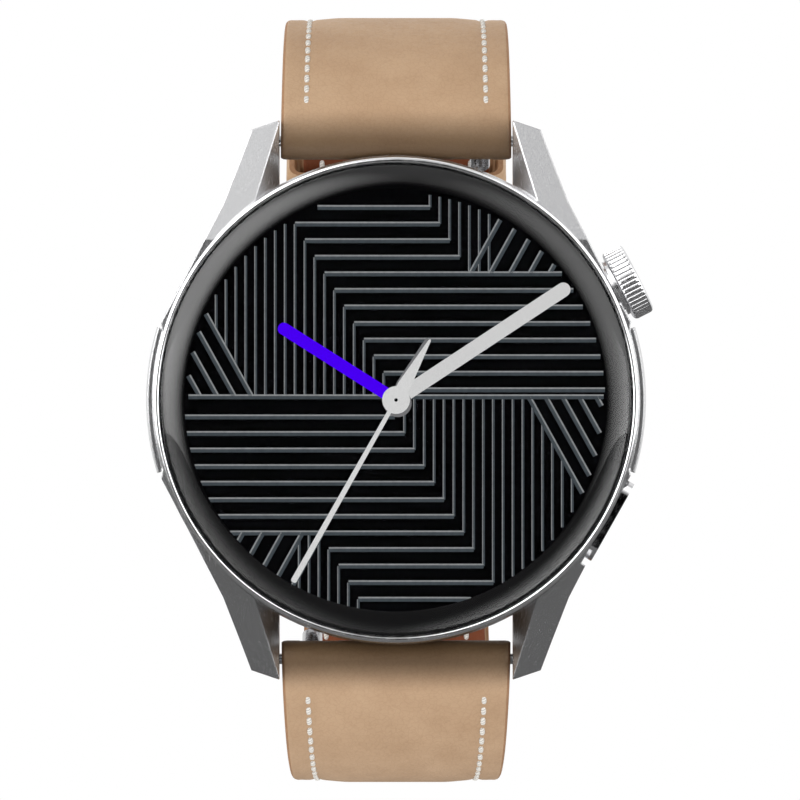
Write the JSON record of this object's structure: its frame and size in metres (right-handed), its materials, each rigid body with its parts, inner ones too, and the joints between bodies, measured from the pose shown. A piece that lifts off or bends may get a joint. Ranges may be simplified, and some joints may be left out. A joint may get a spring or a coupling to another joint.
{
  "type": "smartwatch",
  "caption": "Round smartwatch with a polished bezel, knurled crown, flat side button and a formed leather strap with a pin buckle.",
  "frame": {"origin": "centre of the flat back face of the case, where it rests on the wrist", "axes": "+Y out of the back towards the wrist, so the dial faces -Y; +Z towards twelve o'clock; +X towards the crown side"},
  "size_m": [0.0477, 0.0622, 0.0732],
  "materials": {
    "case_steel": "satin brushed stainless steel with a fine straight grain",
    "bezel_steel": "mirror polished stainless steel",
    "cover_glass": "clear strengthened glass with a domed edge over a dark display",
    "seal_rubber": "matt black seal",
    "display": "dark display panel",
    "inner_plastic": "matt dark grey moulding",
    "circuit_board": "solder-resist green",
    "shield_metal": "thin bright sheet metal",
    "chip_black": "moulded chip",
    "cell_foil": "laminated foil pouch",
    "motor_steel": "drawn steel can",
    "mesh_metal": "dark woven mesh",
    "contact_gold": "gold-plated",
    "flex_film": "amber polyimide film",
    "back_ceramic": "dark satin ceramic",
    "sensor_glass": "dark polished window",
    "coil_copper": "enamelled copper coil",
    "screw_steel": "small machined screws",
    "bushing_brass": "turned brass",
    "crown_steel": "finely knurled stainless steel",
    "button_steel": "polished stainless steel",
    "pin_steel": "turned stainless steel",
    "magnet": "bonded magnet",
    "tan_leather": "smooth tan calf leather with a fine grain and white stitching",
    "rust_lining": "soft rust-brown lining leather",
    "buckle_steel": "satin stainless steel"
  },
  "bodies": {
    "case": {"mid_case": "case_steel", "bezel_ring": "bezel_steel", "cover_glass": "cover_glass", "glass_seal": "seal_rubber", "display_panel": "display", "display_bracket": "inner_plastic", "chassis": "inner_plastic", "main_board": "circuit_board", "shield_can": "shield_metal", "memory_chip": "chip_black", "battery": "cell_foil", "vibration_motor": "motor_steel", "speaker": "chip_black", "speaker_mesh": "mesh_metal", "microphone": "contact_gold", "switch_flex": "flex_film", "crown_switch": "motor_steel", "button_switch": "motor_steel", "back_cover": "back_ceramic", "back_seal": "seal_rubber", "sensor_window": "sensor_glass", "sensor_shroud": "inner_plastic", "sensor_board": "circuit_board", "charging_coil": "coil_copper", "back_screw_1": "screw_steel", "back_screw_2": "screw_steel", "back_screw_3": "screw_steel", "back_screw_4": "screw_steel", "crown_bushing": "bushing_brass"},
    "crown_slider": {"crown_yoke": "motor_steel"},
    "crown": {"crown_stem": "pin_steel", "crown_knob": "crown_steel", "crown_cap": "crown_steel", "crown_seals": "seal_rubber", "crown_magnet": "magnet"},
    "side_button": {"side_button": "button_steel", "button_seals": "seal_rubber", "button_clips": "pin_steel"},
    "upper_strap": {"upper_leather": "tan_leather", "upper_lining": "rust_lining", "upper_bar_tube": "pin_steel", "upper_fixed_tip": "pin_steel", "fixed_keeper": "tan_leather", "buckle_bar": "pin_steel"},
    "upper_pin": {"upper_release_pin": "pin_steel"},
    "free_keeper": {"free_keeper": "tan_leather"},
    "buckle": {"buckle_frame": "buckle_steel"},
    "tongue": {"buckle_tongue": "buckle_steel"},
    "lower_strap": {"lower_leather": "tan_leather", "lower_lining": "rust_lining", "lower_bar_tube": "pin_steel", "lower_fixed_tip": "pin_steel"},
    "lower_pin": {"lower_release_pin": "pin_steel"}
  },
  "joints": [
    {"name": "crown_press", "type": "slide", "parent": "case", "child": "crown_slider", "axis": [-0.891, 0, -0.454], "range_m": [0, 0.00035], "stiffness_N_per_m": 3000},
    {"name": "crown_turn", "type": "hinge", "parent": "crown_slider", "child": "crown", "pos_m": [0.02085, -0.0051, 0.01062], "axis": [0.891, 0, 0.454], "continuous": true},
    {"name": "side_button_press", "type": "slide", "parent": "case", "child": "side_button", "axis": [-0.8704, 0, 0.4924], "range_m": [0, 0.0003], "stiffness_N_per_m": 4000},
    {"name": "upper_strap_pivot", "type": "hinge", "parent": "case", "child": "upper_strap", "pos_m": [0, -0.0032, 0.0244], "axis": [1, 0, 0], "range_deg": [0, 90]},
    {"name": "lower_strap_pivot", "type": "hinge", "parent": "case", "child": "lower_strap", "pos_m": [0, -0.0032, -0.0244], "axis": [-1, 0, 0], "range_deg": [0, 90]},
    {"name": "buckle_pivot", "type": "hinge", "parent": "upper_strap", "child": "buckle", "pos_m": [0, 0.04756, 0.01214], "axis": [1, 0, 0], "range_deg": [-25, 45]},
    {"name": "tongue_pivot", "type": "hinge", "parent": "buckle", "child": "tongue", "pos_m": [0, 0.04756, 0.01214], "axis": [1, 0, 0], "range_deg": [0, 65]},
    {"name": "keeper_travel", "type": "hinge", "parent": "upper_strap", "child": "free_keeper", "pos_m": [0, 0.0142, 0], "axis": [1, 0, 0], "range_deg": [0, 13]},
    {"name": "upper_pin_release", "type": "slide", "parent": "upper_strap", "child": "upper_pin", "axis": [-1, 0, 0], "range_m": [0, 0.0013], "stiffness_N_per_m": 600},
    {"name": "lower_pin_release", "type": "slide", "parent": "lower_strap", "child": "lower_pin", "axis": [1, 0, 0], "range_m": [0, 0.0013], "stiffness_N_per_m": 600}
  ]
}
